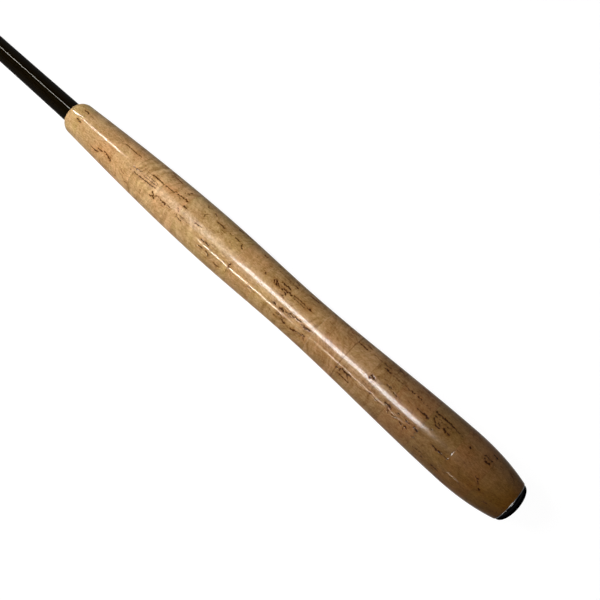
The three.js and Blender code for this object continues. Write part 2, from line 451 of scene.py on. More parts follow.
# Pores and cracks seen in the photo: from and to, in pixels as in seen_at, then width and depth
SEEN_PORES = (
    (-284, -10.8, -279, -10.5, 1.6, 0.9), (-279, -10.5, -270, -10, 0.8, 0.4),
    (-285, 1, -279, 1.3, 1.3, 0.9), (-257, 12, -252, 12.8, 1, 0.6), (-252, 12.8, -248, 12.4, 1.7, 1),
    (-250, 9.4, -244, 9, 1.3, 0.8), (-248, 12.2, -244, 9.6, 0.9, 0.5), (-243, 7.5, -239, 7.9, 1.3, 0.8),
    (-239, 8.2, -236, 9, 1.4, 0.9), (-236, 9, -232, 10.6, 2, 1), (-241, 16.5, -238, 19, 1.2, 0.5),
    (-242, -12, -233, -12.2, 0.8, 0.35), (-232, -12.5, -216, -12.5, 1.4, 0.7),
    (-215, -13, -211, -13, 1.2, 0.6), (-210, -1.2, -208.6, -0.8, 1.4, 0.8),
    (-207.3, -0.8, -205.8, -0.8, 1.4, 0.8), (-205, -1.4, -200, -2.6, 1, 0.6),
    (-212.5, 4.2, -210.5, 3.4, 0.9, 0.5), (-209, 3, -200, 3.1, 1, 0.7), (-200, 2.8, -186, 2, 1.2, 0.85),
    (-186, 2, -180, 1.2, 1.1, 0.8), (-197, -0.2, -188, -1.1, 1, 0.6), (-188, -0.9, -180, -1.6, 1, 0.7),
    (-194, -3, -180, -3.6, 0.9, 0.6), (-201, -6.5, -190, -7, 0.9, 0.45), (-190, -7.5, -187, -7.6, 1.5, 0.9),
    (-186, -7.7, -183, -7.7, 1.6, 1), (-182, -7.8, -176, -7.6, 1.4, 0.8),
    (-174, -7.8, -163, -8.3, 1.3, 0.7), (-220, 10, -213, 11.5, 1.5, 0.4),
    (-217, 13.5, -209, 15.5, 1.5, 0.4), (-208, 17, -205, 16.5, 1.5, 0.5),
    (-173, -21, -163, -20.5, 1.3, 0.8), (-175, -18, -172, -20, 1.6, 0.4),
    (-162.5, -10.3, -161, -10.3, 1.2, 0.9), (-159, -9.5, -150, -10.6, 1.4, 0.85),
    (-149.5, -10.8, -146.5, -10.4, 1.9, 1), (-157, -8, -154, -7.5, 0.9, 0.5),
    (-152, -16, -148.5, -19.5, 2, 0.5), (-156, -15.5, -154, -15, 1.1, 0.5),
    (-147, -4.8, -143.5, -4.4, 1.5, 0.95), (-149.5, 1, -147.5, 3.5, 1.1, 0.7),
    (-180, 5.4, -177, 7.8, 1.7, 0.95), (-178, 8.9, -174, 10.3, 1.5, 0.95), (-175, 7.5, -172, 4.8, 1.1, 0.7),
    (-180, 10, -178, 10.2, 1.3, 0.8), (-171, 6.3, -166, 6.5, 1, 0.6), (-165, 6.4, -162, 7.1, 2.3, 1),
    (-164.5, 10, -163, 10.2, 1.3, 0.7), (-160, 6, -155, 6.6, 1, 0.65), (-148, 6.5, -145, 7.5, 1, 0.6),
    (-145, 5.5, -139, 5.4, 1, 0.6), (-146, 8.6, -139, 9, 1.1, 0.7), (-141, 7, -133, 6, 0.8, 0.5),
    (-127, 0.8, -123, 0.3, 1.3, 0.8), (-123, 0.2, -118.5, -0.6, 1, 0.55), (-125, -10, -124, -14, 2.2, 0.5),
    (-130, -8, -126, -15, 1, 0.3), (-128, -21, -126, -20, 2, 0.5), (-118, -20, -115, -19, 1.8, 0.5),
    (-111, -15, -106, -15.3, 1.4, 0.8), (-106, -15.4, -101.5, -15.2, 1.4, 0.8),
    (-94, -14.5, -90, -15, 1.1, 0.6), (-87, -15, -81, -15.2, 1.5, 0.7), (-78, -14.5, -75, -11, 1.6, 0.7),
    (-88, -8, -84.5, -7, 1.6, 0.4), (-112, 8.8, -108, 9, 1.3, 0.9), (-107, 8.3, -102.5, 8.7, 1.4, 0.95),
    (-110, 15.4, -105, 15, 1.3, 0.85), (-101, 14.8, -97, 16, 1.3, 0.85), (-97, 16, -94.5, 18, 1, 0.7),
    (-87, 18.5, -81.5, 19, 1.7, 0.8), (-73.8, 7.6, -73.2, 11.5, 1.7, 1), (-73, 13, -72.5, 18, 1, 0.5),
    (-70, 14, -67, 15, 1.2, 0.5), (-53, -21.5, -50, -21.7, 1.7, 0.9), (-42, -8.7, -40, -8, 1.3, 0.6),
    (-34, -20, -10, -19, 1.8, 0.35), (-9, -19, -6, -18.5, 1.6, 0.8), (-34, -23, -29, -23.5, 1.6, 0.7),
    (-11, -23, -8, -22, 2, 0.6), (-22, -13, -11, -13.2, 1.7, 0.75), (-30, -9.8, -28.5, -7.5, 1.4, 0.95),
    (-28, -10.8, -26.5, -9.5, 1.5, 0.95), (-27, -8, -24, -7, 1.6, 1), (-25, -9.5, -23.3, -8, 1.5, 0.95),
    (-22.5, -7.8, -20.5, -7.4, 1.1, 0.6), (-19.5, -7.8, -17.5, -7.6, 1.4, 0.9),
    (-17.5, -9.9, -15, -8.4, 1.5, 1), (-14, -9.5, -12, -8.5, 1.8, 0.8), (-14, -6.5, -12, -5.8, 1.8, 0.8),
    (-15, -2.8, -13, -3.4, 1.2, 0.8), (-13, -3, -11.5, -1.5, 0.9, 0.6), (-10, -9.7, -6, -9.5, 1.7, 0.7),
    (-5, -10.8, 2, -10.9, 1.1, 0.8), (2.5, -11, 9, -11, 1.1, 0.8), (-5, -8.7, 12, -8.3, 0.9, 0.6),
    (9, -10.8, 14, -10.4, 1, 0.5), (15.5, -10.5, 18.5, -10.3, 1.9, 1), (8, -21.5, 18, -21.8, 1.4, 0.7),
    (-15.5, 7.3, -13, 8.2, 2.1, 1), (-19, 8, -16, 8.6, 1.2, 0.5), (-8, 8, -6, 8.3, 1.6, 0.95),
    (-5.5, 7.5, -3, 8.2, 2.1, 1), (-1, 7.2, 4, 6.2, 1.2, 0.7), (4, 5.6, 10, 5.9, 1.3, 0.8),
    (10, 5, 18, 4.6, 1.3, 0.8), (-2, 8.8, 14, 7.4, 0.9, 0.45), (19, 6.5, 21, 6, 1.2, 0.8),
    (22.5, 5, 25, 7.5, 1.4, 0.9), (23, 6.9, 26, 5.6, 1.6, 1), (26, 6.2, 30, 5.5, 1.6, 1),
    (-7, 14.2, -3, 14, 1.2, 0.75), (-2, 14, 3, 13.8, 1.2, 0.75), (-8, 17.3, -6.5, 17.4, 1.2, 0.8),
    (2.5, 16, 6, 16.3, 2, 1), (0, 15.6, 2.5, 16, 1.1, 0.6), (14.5, 16.8, 18, 16, 2.1, 1),
    (17, 15.2, 20.5, 14.8, 1.5, 0.9), (21, 14.6, 27, 14.5, 1.1, 0.7), (27, 13.2, 30, 13.2, 1.3, 0.8),
    (29, 14.5, 32, 16.5, 1.4, 0.8), (8, 17, 12, 17.5, 1.1, 0.5), (-46, 13.6, -42, 12.8, 1.1, 0.5),
    (-54, 15.4, -49, 15.8, 1.1, 0.4), (63, -22.3, 65.5, -21.8, 1.5, 0.7), (74, -19.3, 86, -19, 1.6, 0.8),
    (84, -23, 90, -22.5, 1.2, 0.6), (95, -20, 105, -20, 1.2, 0.45), (108, -20.3, 118, -20.3, 1.3, 0.55),
    (112, -17.3, 119, -17, 1.5, 0.8), (124, -25.5, 130, -25.3, 1.3, 0.8), (122, -17, 138, -17.2, 1.6, 0.35),
    (140, -17.3, 144, -17, 1.4, 0.6), (147, -17.8, 150, -17, 1.7, 0.75), (155, -18, 159, -17.5, 1.7, 0.75),
    (160, -17, 172, -16.8, 1.6, 0.35), (179, -18.5, 193, -18.5, 1.7, 0.8),
    (105.5, 0.3, 107, -0.8, 1.6, 0.9), (106.5, -2.7, 110, -2, 2.3, 1), (123, -5.8, 130, -6, 1.3, 0.6),
    (133, -4.4, 139, -3.7, 1.1, 0.6), (127, -6.5, 133, -11.5, 0.8, 0.35), (131, -6, 136, -11, 0.8, 0.35),
    (150, -8, 152, -7.5, 1.2, 0.5), (162, -8.5, 165, -8, 1.3, 0.6), (167, -8, 170, -8.2, 1.6, 0.7),
    (170, -8.5, 176.5, -8.1, 2.1, 1), (186, -8, 192, -7.5, 1.5, 0.7), (181, -14.5, 184, -15, 1.4, 0.7),
    (181, -12, 185, -10, 1.7, 0.7), (188, -11, 190, -10, 1.5, 0.6), (186, -14.8, 202, -14.6, 1.3, 0.5),
    (73, 15, 78, 13.8, 1.3, 0.7), (78, 13.3, 80, 12.4, 1.5, 0.9), (80, 12, 83, 12.7, 1.5, 0.9),
    (83, 13, 87, 13.1, 1.7, 1), (87, 13, 91, 12.7, 1.5, 1), (78.5, 16, 79, 14, 1.1, 0.6),
    (88, 14.5, 90, 15.8, 1.3, 0.7), (78, 18, 93, 18.5, 1.5, 0.6), (103, 7.5, 112, 8.3, 1.3, 0.45),
    (117, 8, 121, 8.3, 1.2, 0.5), (116, 12.5, 119, 12, 1.5, 0.6), (124, 13.5, 131, 13.8, 1.1, 0.5),
    (134, 8.8, 139, 8.6, 1.5, 0.9), (139.5, 8.8, 142.5, 10, 1.8, 1), (138, 10.5, 142, 13, 1, 0.6),
    (141, 13, 143.5, 15.5, 1, 0.6), (145, 14, 152, 13, 0.9, 0.45), (151, 8.6, 153, 8.3, 1.4, 0.7),
    (161, 8.5, 166, 8.8, 1.7, 0.7), (172, 8.4, 178, 8.9, 1.8, 0.95), (158, 14, 160.5, 14.5, 1.5, 0.8),
    (164, 13.8, 167, 14.5, 1.9, 0.95), (164.5, 16, 165, 20, 1.1, 0.5), (175, 17, 180, 16, 1.8, 0.4),
    (184, 23.5, 195, 22.5, 1.5, 0.5), (190, -19, 204, -18.5, 1.5, 0.8), (205, -18, 216, -17.5, 1.3, 0.5),
    (196, -10.6, 198.5, -9, 2, 1), (201, -9.6, 203, -9, 1.7, 0.95), (227, -14.5, 229, -14, 1.8, 0.7),
    (244, -18.6, 254, -18, 1.5, 0.7), (245.5, -15.4, 249, -14.2, 1.5, 0.8),
    (249, -14.2, 253, -14.2, 2.1, 1), (251, -24.5, 257, -23.8, 2, 0.7), (196, 9.4, 203, 9.8, 1.3, 0.6),
    (203, 10.2, 208, 10, 1.9, 0.95), (208, 9.9, 219, 10.2, 1.3, 0.6), (251, 3.8, 255, 4.2, 1.3, 0.6),
    (253, 5, 258, 8, 1.1, 0.5), (261, 11.3, 263, 11.8, 1.9, 0.7), (196, 25.8, 198.5, 25.3, 1.7, 0.7),
    (209, 25, 219, 25.3, 1.6, 0.75), (274, 18, 277, 17, 1.7, 0.5), (275, -21.5, 279, -20, 1.6, 0.5),
)

# What each ring looks like, from the butt forward: lightness, redness, strength of its growth bands
RING_LOOKS = (
    (0.0, 0.0, 0.3), (0.0, 0.7, 0.3), (0.05, -0.3, 0.5), (-0.1, 0.8, 0.4), (-0.7, -0.2, 1.1),
    (0.15, -0.1, 0.9), (0.0, 0.5, 1.1), (-0.7, 0.2, 0.9), (0.0, -0.3, 0.9), (-0.1, 0.3, 0.4),
    (-0.4, -0.5, 0.8), (-0.1, -0.4, 0.7), (0.05, 0.4, 0.9), (0.6, -0.1, 1.6), (1.0, 0.4, 0.8),
    (-0.15, 0.5, 0.5), (0.05, -0.1, 0.5), (0.1, -0.6, 0.5),
)

# How the seam in front of each ring but the last shows, from the butt forward: dark below 0, pale above
SEAM_TONES = (-0.2, -0.15, -0.35, -0.1, -0.25, -0.6, 0.5, -0.15, 0.45, -0.25, -0.15, -0.15, -0.2, -0.3,
              -0.1, -0.1, -0.2)
SEAM_MARK_WIDTH = 0.45
SEAM_MARK_STEPS = (0.2, 0.5)

# Pores, in millimetres; the side that the photo doesn't show starts at an angle from the top, in degrees
PORE_DEPTH = 0.14
PORE_SPREAD = 1.2
PORE_REACH = 4
PORE_WAVES = (2.3, 5.1, 3.7)
MARK_REACH = 3
STAIN_REACH = 1.1
STAIN_WIDTH = 0.6
HIDDEN_SIDE = 62.0
HIDDEN_ROWS_PER_RING = 7
SMALL_PORES_PER_RING = 30
FIRST_SEED = 100


def seen_pore(from_along, from_across, to_along, to_across, width, depth):
    x0, turn0 = seen_at(from_along, from_across)
    x1, turn1 = seen_at(to_along, to_across)
    return x0, turn0, x1, turn1, width * PORE_SPREAD * PIXEL, depth


seen_pores = [seen_pore(*pore) for pore in SEEN_PORES]


def small_pores(rng, start, end):
    pores = []
    for _ in range(SMALL_PORES_PER_RING):
        x = rng.uniform(start + 0.5, end - 1)
        turn = rng.uniform(-math.pi, math.pi)
        length = rng.uniform(0.2, 1.2)
        ahead = turn + rng.normal(0, 0.01)
        pores.append((x, turn, x + length, ahead, rng.uniform(0.25, 0.4), rng.uniform(0.3, 0.6)))
    return pores


def touches(pore, start, end):
    """Whether a pore seen in the photo lies on a ring or comes near it"""
    low, high = start - PORE_REACH, end + PORE_REACH
    return pore[2] > low and (pore[0] < high or pore[2] < high)


def hidden_pores(rng, start, end):
    """Rows of long pores on the side that the photo doesn't show"""
    pores = []
    for _ in range(HIDDEN_ROWS_PER_RING):
        turn = math.radians(rng.uniform(HIDDEN_SIDE, 360 - HIDDEN_SIDE))
        width = rng.uniform(0.4, 0.85)
        x = rng.uniform(start, end)
        for _ in range(rng.integers(1, 5)):
            length = rng.gamma(2.0, 1.0)
            if x + length > end:
                break
            ahead = turn + rng.normal(0, 0.025)
            pores.append((x, turn, x + length, ahead, width * rng.uniform(0.7, 1.3), rng.uniform(0.5, 1.0)))
            x += length + rng.uniform(0.2, 1.6)
            turn = ahead + rng.normal(0, 0.03)
    return pores


def pore_marks(pores, along, around, radius, rng):
    """How deep in a pore each point lies, and how much of the stain round a pore it has, from 0 to 1"""
    deepest = np.zeros_like(along)
    stain = np.zeros_like(along)
    for x0, turn0, x1, turn1, width, depth in pores:
        waves = rng.uniform(0, 2 * math.pi, 3)
        waviness = rng.uniform(0.05, 0.25)
        near = np.abs(along - (x0 + x1) / 2) < abs(x1 - x0) / 2 + MARK_REACH
        dx = along[near] - x0
        du = (np.mod(around[near] - turn0 + math.pi, 2 * math.pi) - math.pi) * radius[near]
        turned_by = (turn1 - turn0) * float(np.mean(radius[near])) if near.any() else 1.0
        way = Vector((x1 - x0, turned_by))
        length = way.length
        way.normalize()
        p = dx * way.x + du * way.y
        q = du * way.x - dx * way.y
        q = q + waviness * width * (np.sin(p * PORE_WAVES[0] + waves[0])
                                    + 0.6 * np.sin(p * PORE_WAVES[1] + waves[1]))
        beyond = np.maximum(np.abs(p - length / 2) - length / 2, 0)
        away = np.hypot(beyond, q)
        swell = 0.85 + 0.3 * np.sin(p * PORE_WAVES[2] + waves[2])
        level = np.clip((1 - (2 * away / (width * swell)) ** 2) * 1.5, 0, 1) * depth
        deepest[near] = np.maximum(deepest[near], level)
        stained = np.exp(-(away / STAIN_REACH) ** 2) * depth * min(width / STAIN_WIDTH, 1)
        stain[near] = np.maximum(stain[near], stained)
    return deepest, stain


def cork_ring(node, index):
    start_x, end_x = span(node)
    start, end = start_x - cork_x, end_x - cork_x
    rng = np.random.default_rng(FIRST_SEED + index)
    is_front = index == len(cork_rings) - 1
    side_end = end - SHOULDER_LENGTH if is_front else end
    steps = math.ceil((side_end - start) / CORK_STEP)
    places = np.linspace(start, side_end, steps + 1)
    edge = [SEAM_MARK_WIDTH * share for share in SEAM_MARK_STEPS]
    places = np.sort(np.concatenate([places, [start + e for e in edge], [side_end - e for e in edge]]))
    outline = list(zip(places + cork_x, cork_radius(places)))
    if is_front:
        lip_radius = blank_radius(cork_front_x) + GLUE_GAP + CORK_LIP
        shoulder_radius = cork_radius(np.array([side_end]))[0]
        for k in range(1, SHOULDER_STEPS + 1):
            turn = k / SHOULDER_STEPS * math.pi / 2
            outline.append((end_x - SHOULDER_LENGTH * (1 - math.sin(turn)),
                            mix(lip_radius, shoulder_radius, math.cos(turn))))
    outside = len(outline)
    outline.append((end_x, blank_radius(end_x) + GLUE_GAP))
    outline.append((start_x, blank_radius(start_x) + GLUE_GAP))
    pores = [pore for pore in seen_pores if touches(pore, start, end)]
    pores += hidden_pores(rng, start, end)
    pores += small_pores(rng, start, end)
    shape = (len(outline), CORK_SIDES)
    marks = {"pore": np.zeros(shape), "stain": np.zeros(shape), "seam": np.zeros(shape)}

    def warp(x, r, angle):
        along = x[:outside] - cork_x
        around = math.pi / 2 - angle[:outside]
        marks["pore"][:outside], marks["stain"][:outside] = pore_marks(pores, along, around, r[:outside], rng)
        behind = SEAM_TONES[index - 1] if index else 0.0
        ahead = 0.0 if is_front else SEAM_TONES[index]
        marks["seam"][:outside] = (behind * np.clip(1 - (along - start) / SEAM_MARK_WIDTH, 0, 1)
                                   + ahead * np.clip(1 - (end - along) / SEAM_MARK_WIDTH, 0, 1))
        to_seam = np.minimum(along - start, np.where(is_front, end, end - along))
        seam = np.clip(1 - to_seam / SEAM_WIDTH, 0, 1) ** 2
        r = r.copy()
        r[:outside] -= PORE_DEPTH * marks["pore"][:outside] + SEAM_DEPTH * seam
        return x, r

    piece = revolve(f"{node}_fine", outline, CORK_SIDES, warp)
    looks = (*RING_LOOKS[index], float(index))
    for name, look in zip(("ring_light", "ring_red", "ring_bands", "ring_seed"), looks):
        marks[name] = np.full(shape, look)
    for name, values in marks.items():
        made = piece.data.attributes.new(name, "FLOAT", "POINT")
        made.data.foreach_set("value", values.ravel())
    return piece


# Colours along the grip, from the butt to the front: millimetres from the cork's butt end, colour. The
# darkening towards the butt is partly the cork's own tone and partly painted shade, standing in for light
# that falls off towards the butt.
CORK_COLOURS_AND_SHADE = (
    (0.0, (0.14, 0.056, 0.008)),
    (4.0, (0.168, 0.078, 0.017)),
    (7.0, (0.19, 0.094, 0.027)),
    (12.0, (0.205, 0.103, 0.034)),
    (23.0, (0.21, 0.107, 0.036)),
    (33.0, (0.214, 0.111, 0.035)),
    (46.0, (0.262, 0.144, 0.053)),
    (77.0, (0.39, 0.219, 0.091)),
    (118.0, (0.44, 0.258, 0.1)),
    (150.0, (0.48, 0.29, 0.12)),
    (185.0, (0.51, 0.317, 0.142)),
    (214.0, (0.5, 0.308, 0.133)),
    (235.0, (0.46, 0.283, 0.12)),
    (262.0, (0.46, 0.285, 0.128)),
    (275.0, (0.5, 0.315, 0.145)),
)

# What the cork's colour is multiplied by, where each mark shows
RED_TINT = (1.08, 0.97, 0.96)
OLIVE_TINT = (0.94, 1.0, 0.84)
CRACK_TINT = (0.52, 0.4, 0.3)
FLECK_TINT = (1.25, 1.25, 1.2)
DARK_SEAM_TINT = (0.42, 0.33, 0.24)
STAIN_TINT = (0.84, 0.64, 0.44)
PORE_TINT = (0.17, 0.1, 0.05)
# Painted shade: the +Y side near the butt is darkened and warmed as if less light reached it
PAINTED_SIDE_SHADE_TINT = (0.82, 0.76, 0.42)
PALE_SEAM_COLOUR = (0.72, 0.55, 0.34, 1)

# How much each noise lightens and darkens the cork
PATCH_CONTRAST = 0.8
CELL_CONTRAST = 1.15
GRAIN_CONTRAST = 1.4
BAND_CONTRAST = 1.9

# Fine cracks along the grip: scale, the noise levels that they fade in between, strength
FINE_CRACKS = ((1.1, 0.5, 0.6, 1.0), (2.3, 0.44, 0.56, 0.7))


def cork_material():
    """Cork under clear lacquer; each ring is cut from another place in the same noises"""
    cork = Shader("lacquered_cork", roughness=0.33, specular_ior_level=0.012, coat_roughness=0.07,
                  coat_ior=1.35)
    seed = cork.attribute("ring_seed")
    shift = cork.joined(*(cork.times(seed, step) for step in (37.1, 17.3, -23.9)))
    place = cork.add("VectorMath", {0: cork.mm, 1: shift}, operation="ADD").outputs[0]
    long_place = cork.scaled(place, (0.4, 1, 1))
    crack_place = cork.scaled(place, (0.1, 1, 1))
    along, sideways, upward = cork.axes()
    from_butt = cork.math("SUBTRACT", along, cork_x)
    share = cork.math("DIVIDE", from_butt, cork_front_x - cork_x)
    # Colour along the grip, with part of its darkening towards the butt painted shade
    colour = cork.ramp(share, [(stop / CORK_COLOURS_AND_SHADE[-1][0], shade) for stop, shade in CORK_COLOURS_AND_SHADE])

    patches = cork.noise(long_place, 0.22, 4, 0.6, 0.6)
    cells = cork.noise(long_place, 0.9, 5, 0.65, 0.3)
    grain = cork.noise(long_place, 2.2, 3, 0.6)
    shade = cork.math("MULTIPLY_ADD", cork.attribute("ring_light"), 0.12, 1.0)
    for noise, contrast in ((patches, PATCH_CONTRAST), (cells, CELL_CONTRAST), (grain, GRAIN_CONTRAST)):
        shade = cork.vary(shade, noise, contrast)

    lean = cork.times(cork.math("SINE", cork.times(seed, 2.4)), 0.6)
    wobble = cork.times(cork.noise(place, 0.1, 2), 9.0)
    band_place = cork.joined(cork.math("ADD", cork.math("MULTIPLY_ADD", lean, sideways, along), wobble),
                             cork.times(sideways, 0.12),
                             cork.math("MULTIPLY_ADD", seed, 5.3, upward))
    bands = cork.noise(cork.scaled(band_place, (1, 1, 0.12)), 0.45, 4, 0.7)
    shade = cork.vary(shade, bands, cork.times(cork.attribute("ring_bands"), BAND_CONTRAST))
    shade = cork.math("MAXIMUM", shade, 0.2)
    warm_shade = cork.rgb(cork.math("POWER", shade, 0.8), shade, cork.math("POWER", shade, 1.4))
    colour = cork.blend("MULTIPLY", 1.0, colour, warm_shade)

    red = cork.vary(cork.attribute("ring_red"), cork.noise(place, 0.13, 3, 0.55), 2.4)
    colour = cork.tint(cork.between(red, 0.0, 1.2), colour, RED_TINT)
    colour = cork.tint(cork.between(red, -1.2, 0.0, 1.0, 0.0), colour, OLIVE_TINT)

    for scale, low, high, strength in FINE_CRACKS:
        line = cork.math("ABSOLUTE", cork.math("SUBTRACT", cork.noise(crack_place, scale, 2), 0.5))
        mask = cork.between(cork.noise(place, 0.16 * scale, 2), low, high, 0.0, strength)
        crack = cork.times(cork.between(line, 0.0, 0.02, 1.0, 0.0), mask)
        colour = cork.tint(crack, colour, CRACK_TINT)
    fleck = cork.between(cork.noise(long_place, 1.6, 3, 0.6), 0.6, 0.72, 0.0, 0.3)
    colour = cork.tint(fleck, colour, FLECK_TINT)

    torn = cork.noise(place, 1.3, 3, 0.7)
    seam = cork.attribute("seam")
    dark_seam = cork.between(cork.vary(cork.times(seam, -1.0), torn, 0.8), 0.0, 0.8)
    dark_seam = cork.times(dark_seam, cork.between(seam, -0.1, 0.0, 1.0, 0.0))
    colour = cork.tint(dark_seam, colour, DARK_SEAM_TINT)
    pale_seam = cork.between(cork.vary(seam, torn, 0.8), 0.15, 0.8, 0.0, 0.5)
    pale_seam = cork.times(pale_seam, cork.between(seam, 0.0, 0.1))
    colour = cork.blend("MIX", pale_seam, colour, PALE_SEAM_COLOUR)

    colour = cork.tint(cork.times(cork.attribute("stain"), 0.75), colour, STAIN_TINT)
    pore = cork.attribute("pore")
    ragged = cork.vary(pore, cork.noise(place, 2.2, 4, 0.7), 1.5)
    dark = cork.between(cork.times(ragged, cork.between(pore, 0.0, 0.15)), 0.15, 0.6)
    colour = cork.tint(dark, colour, PORE_TINT)
    # Painted shade on the +Y side of the grip near the butt, as if the light fell from the other side
    near_butt = cork.between(from_butt, 8.0, 42.0, 1.0, 0.0)
    painted_side_shade = cork.times(cork.between(sideways, -5.0, 8.0), near_butt)
    cork.set("Base Color", cork.tint(painted_side_shade, colour, PAINTED_SIDE_SHADE_TINT))

    clear_of_pores = cork.between(dark, 0.0, 1.0, 1.0, 0.1)
    gloss = cork.times(cork.between(cork.facing(), 0.2, 0.6, 0.2, 0.04), clear_of_pores)
    cork.set("Coat Weight", gloss)
    height = cork.math("MULTIPLY_ADD", dark, -1.0, cork.times(cells, 0.35))
    cork.set("Normal", cork.bump(height, 0.12, 0.6))
    cork.set("Coat Normal", cork.bump(cork.math("MULTIPLY_ADD", dark, -1.2, patches), 0.012, 0.5))
    return cork.material


cork = cork_material()
for ring_index, ring_node in enumerate(cork_rings):
    stand_for(cork_ring(ring_node, ring_index), ring_node, cork)


# Blank, sections and tip

TAPE_PITCH = 2.2


def fibre_material(name, colour, roughness, coat_weight):
    """Dark lacquer over carbon fibre, with the faint spiral of the tape it was rolled with"""
    fibre = Shader(name, roughness=roughness, specular_ior_level=0.0, coat_weight=coat_weight,
                   coat_roughness=0.06, coat_ior=1.3)
    x, y, z = fibre.axes()
    around = fibre.math("DIVIDE", fibre.math("ARCTAN2", z, y), 2 * math.pi)
    spiral = fibre.math("FRACT", fibre.math("MULTIPLY_ADD", x, 1 / TAPE_PITCH, around))
    ridge = fibre.between(fibre.math("ABSOLUTE", fibre.math("SUBTRACT", spiral, 0.5)), 0.38, 0.5)
    mottle = fibre.noise(fibre.scaled(fibre.mm, (0.15, 1, 1)), 0.8, 4, 0.6)
    shade = fibre.math("MULTIPLY_ADD", ridge, -0.25, fibre.math("MULTIPLY_ADD", mottle, 0.8, 0.6))
    fibre.set("Base Color", fibre.blend("MULTIPLY", 1.0, (*colour, 1), fibre.rgb(shade, shade, shade)))
    fibre.set("Normal", fibre.bump(fibre.math("MULTIPLY_ADD", ridge, 0.5, mottle), 0.01, 0.5))
    return fibre.material


blank = fibre_material("olive_black_lacquer", (0.0045, 0.0028, 0.0009), 0.35, 0.075)
tip_lacquer = fibre_material("tip_lacquer", (0.05, 0.048, 0.042), 0.4, 0.6)

mouth_bore = MOUTH_RADIUS - MOUTH_WALL
stand_x, section_front_x = span("section_2")
section_taper = SECTION_DROP / (section_front_x - stand_x)

taper_places = np.linspace(cork_front_x + 1, mouth_x - 1, BLANK_RINGS)
bore_x = mouth_x - STRAIGHT_BORE_LENGTH
turned("handle_blank", [
    (blank_start_x, blank_radius(blank_start_x), 0.15),
    (cork_front_x, blank_radius(cork_front_x), 0),
    *((float(x), blank_radius(x), 0) for x in taper_places),
    (mouth_x, MOUTH_RADIUS, 0.2),
    (mouth_x, mouth_bore, 0.15),
    (bore_x, mouth_bore + section_taper * STRAIGHT_BORE_LENGTH, 0),
    (blank_start_x, blank_butt_bore, 0.15),
], blank)


def hollow_section(node, butt_radius, wall):
    front_radius = butt_radius - SECTION_DROP
    lip = wall * LIP_SHARE
    turned(node, [
        (stand_x, butt_radius, lip),
        (section_front_x, front_radius, lip),
        (section_front_x, front_radius - wall, lip),
        (stand_x, butt_radius - wall, lip),
    ], blank)


bore = mouth_bore
for section_index, section_wall in enumerate(SECTION_WALLS):
    section_butt = bore + section_taper * SECTION_OVERLAP - RUNNING_GAP
    hollow_section(f"section_{section_index + 2}", section_butt, section_wall)
    bore = section_butt - SECTION_DROP - section_wall

tip_start_x, tip_end_x = span("tip_section")
sleeve_start_x, sleeve_end_x = span("tip_sleeve")
sleeve_radius = widest("tip_sleeve", TUBE_FACETS)
sleeve_bore = sleeve_radius - SLEEVE_WALL
root_radius = sleeve_bore - CAP_GAP

turned("tip_section", [
    (tip_start_x, 0, 0),
    (tip_start_x, bore + section_taper * SECTION_OVERLAP - RUNNING_GAP, 0.2),
    (tip_end_x, root_radius - LILLIAN_ROOT_WALL - CAP_GAP, 0.1),
    (tip_end_x, 0, 0),
], tip_lacquer)


# Mouth band, tip sleeve and lillian

BAND_WINDINGS = 38
WINDING_STEPS = 6
WINDING_HEIGHT = 0.035
LEAST_RISE = 0.01


def thread_material():
    """Silk winding soaked in lacquer"""
    thread = Shader("wound_thread", roughness=0.4, specular_ior_level=0.0, coat_weight=0.25,
                    coat_roughness=0.08, coat_ior=1.35)
    mottle = thread.noise(thread.scaled(thread.mm, (3, 0.7, 0.7)), 1.4, 3, 0.6)
    thread.set("Base Color", thread.tones(mottle, (0.07, 0.02, 0.008), (0.13, 0.042, 0.014)))
    strands = thread.noise(thread.scaled(thread.mm, (9, 0.5, 0.5)), 1.5, 2)
    thread.set("Normal", thread.bump(strands, 0.02, 0.5))
    return thread.material


def mouth_band():
    start_x, end_x = span("mouth_band")
    thickness = widest("mouth_band", TUBE_FACETS) - blank_radius(start_x)
    pitch = (end_x - start_x) / BAND_WINDINGS
    outline = []
    for i in range(BAND_WINDINGS * WINDING_STEPS + 1):
        x = start_x + i * pitch / WINDING_STEPS
        to_end = min(x - start_x, end_x - x)
        ease = math.sqrt(max(0.0, 1 - max(0.0, 1 - to_end / thickness) ** 2))
        valley = 0.5 - 0.5 * math.cos(2 * math.pi * i / WINDING_STEPS)
        rise = thickness * ease - WINDING_HEIGHT * (1 - valley) * ease
        outline.append((x, blank_radius(x) + max(rise, LEAST_RISE)))
    outline.append((end_x, blank_radius(end_x)))
    outline.append((start_x, blank_radius(start_x)))
    return revolve("mouth_band_fine", outline)


stand_for(mouth_band(), "mouth_band", thread_material())


def rubber_material(name, roughness, scale, detail, dark, pale, relief):
    """Dull black rubber or shrunk plastic"""
    rubber = Shader(name, roughness=roughness, specular_ior_level=0.02)
    mottle = rubber.noise(rubber.mm, scale, detail, 0.6)
    rubber.set("Base Color", rubber.tones(mottle, dark, pale))
    rubber.set("Normal", rubber.bump(mottle, relief, 0.6))
    return rubber.material


sleeve_plastic = rubber_material("shrunk_sleeve", 0.5, 2.5, 3, (0.012, 0.012, 0.012), (0.03, 0.03, 0.03),
                                 0.02)
turned("tip_sleeve", [
    (sleeve_start_x, sleeve_radius, 0.06),
    (sleeve_end_x, sleeve_radius, 0.06),
    (sleeve_end_x, sleeve_bore, 0.05),
    (sleeve_start_x, sleeve_bore, 0.05),
], sleeve_plastic)

BRAID_STRANDS = 8
BRAID_RADIUS = 0.55
BRAID_PITCH = 2.6
BRAID_STEPS_PER_TURN = 20
WEAVE_DEPTH = 0.35
STRAND_RADIUS = 0.125
STRAND_SIDES = 8
KNOT_LENGTH = 2.4
KNOT_RADII = (0.42, 0.13)
KNOT_CORD_RADIUS = 0.22
KNOT_POINTS = 96
TAIL_LENGTH = 1.5
TAIL_STEPS = 8
TAIL_SPREAD = (0.22, 0.38)
BRAID_SHARP_ANGLE = 50


